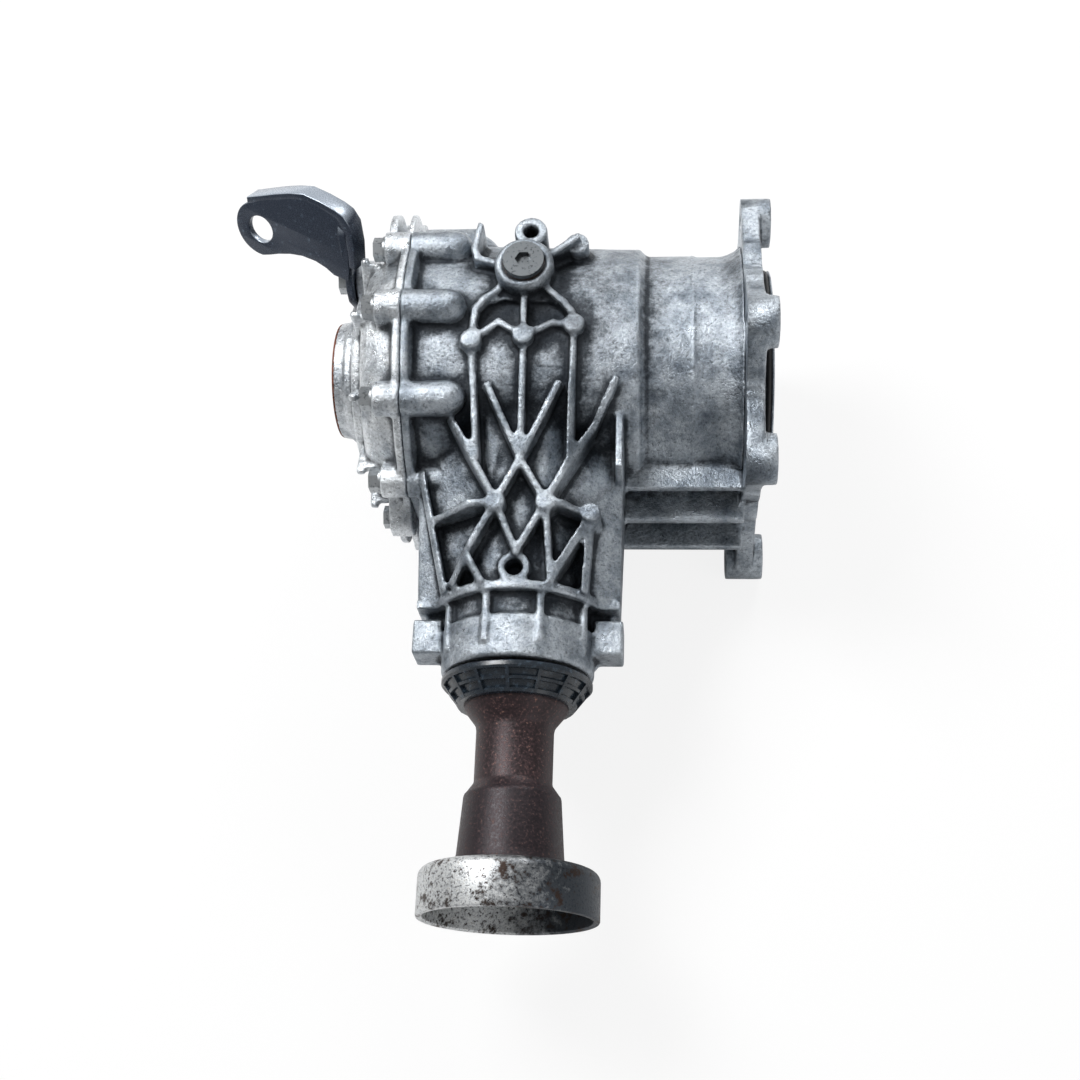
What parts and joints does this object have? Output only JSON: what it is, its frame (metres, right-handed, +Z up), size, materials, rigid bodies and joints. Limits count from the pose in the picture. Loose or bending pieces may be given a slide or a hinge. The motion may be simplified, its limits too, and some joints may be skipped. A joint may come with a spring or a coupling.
{
  "type": "front differential",
  "caption": "Front differential angle drive: cast aluminium case with bolted cover, hollow input shaft, bevel gears, output flange and steel support bracket.",
  "frame": {"origin": "centre of the gearbox register bore at the mating face", "axes": "+X leaves the mating face along the crown wheel axis, the output flange points along -Y, +Z is up"},
  "size_m": [0.3378, 0.4446, 0.216],
  "materials": {
    "cast_case": "die-cast, grimy",
    "cast_cover": "die-cast",
    "black_steel": "satin black paint",
    "zinc_steel": "zinc plated",
    "plug_steel": "dulled steel",
    "copper_washer": "dull copper",
    "rim_seal": "rubber on a rusty steel ring",
    "seal_rubber": "matte",
    "bearing_steel": "ground",
    "shaft_steel": "turned",
    "gear_steel": "phosphated",
    "cage_steel": "pressed",
    "rusty_steel": "rusty brown tube, bare cup",
    "black_plastic": "moulded"
  },
  "bodies": {
    "casing": {"main_housing": "cast_case", "side_cover": "cast_cover", "cover_bolts": "zinc_steel", "support_bracket": "black_steel", "bracket_bolts": "zinc_steel", "filler_plug": "plug_steel", "filler_washer": "copper_washer", "drain_plug": "plug_steel", "drain_washer": "copper_washer", "collar_seal": "rim_seal", "input_seal": "seal_rubber", "pinion_seal": "seal_rubber", "register_o_ring": "seal_rubber", "locating_dowels": "bearing_steel", "crown_shim": "bearing_steel", "pinion_shim": "bearing_steel", "cup_cover_side": "bearing_steel", "cup_case_side": "bearing_steel", "cup_pinion_head": "bearing_steel", "cup_pinion_tail": "bearing_steel"},
    "crown_shaft": {"input_shaft": "shaft_steel", "crown_wheel": "gear_steel", "crown_wheel_bolts": "plug_steel", "cone_cover_side": "bearing_steel", "cone_case_side": "bearing_steel"},
    "pinion_shaft": {"drive_pinion": "gear_steel", "cone_pinion_head": "bearing_steel", "cone_pinion_tail": "bearing_steel", "pinion_spacer": "shaft_steel", "output_flange": "rusty_steel", "dust_shield": "black_plastic", "pinion_nut": "zinc_steel"},
    "cage_set_cover_side": {"rollers_cover_side": "bearing_steel", "cage_cover_side": "cage_steel"},
    "cage_set_case_side": {"rollers_case_side": "bearing_steel", "cage_case_side": "cage_steel"},
    "cage_set_pinion_head": {"rollers_pinion_head": "bearing_steel", "cage_pinion_head": "cage_steel"},
    "cage_set_pinion_tail": {"rollers_pinion_tail": "bearing_steel", "cage_pinion_tail": "cage_steel"}
  },
  "joints": [
    {"name": "crown_spin", "type": "hinge", "parent": "casing", "child": "crown_shaft", "pos_m": [-0.15, 0, 0], "axis": [1, 0, 0], "continuous": true},
    {"name": "pinion_spin", "type": "hinge", "parent": "casing", "child": "pinion_shaft", "pos_m": [-0.15, 0, 0], "axis": [0, 1, 0], "continuous": true},
    {"name": "cover_side_cage_spin", "type": "hinge", "parent": "casing", "child": "cage_set_cover_side", "pos_m": [-0.232, 0, 0], "axis": [1, 0, 0], "continuous": true},
    {"name": "case_side_cage_spin", "type": "hinge", "parent": "casing", "child": "cage_set_case_side", "pos_m": [-0.082, 0, 0], "axis": [1, 0, 0], "continuous": true},
    {"name": "pinion_head_cage_spin", "type": "hinge", "parent": "casing", "child": "cage_set_pinion_head", "pos_m": [-0.15, -0.081, 0], "axis": [0, 1, 0], "continuous": true},
    {"name": "pinion_tail_cage_spin", "type": "hinge", "parent": "casing", "child": "cage_set_pinion_tail", "pos_m": [-0.15, -0.159, 0], "axis": [0, 1, 0], "continuous": true}
  ],
  "couplings": [
    {"joint": "pinion_spin", "follows": "crown_spin", "ratio": 2.5833},
    {"joint": "cover_side_cage_spin", "follows": "crown_spin", "ratio": 0.44306},
    {"joint": "case_side_cage_spin", "follows": "crown_spin", "ratio": 0.44306},
    {"joint": "pinion_head_cage_spin", "follows": "crown_spin", "ratio": 1.0536},
    {"joint": "pinion_tail_cage_spin", "follows": "crown_spin", "ratio": 1.0597}
  ]
}
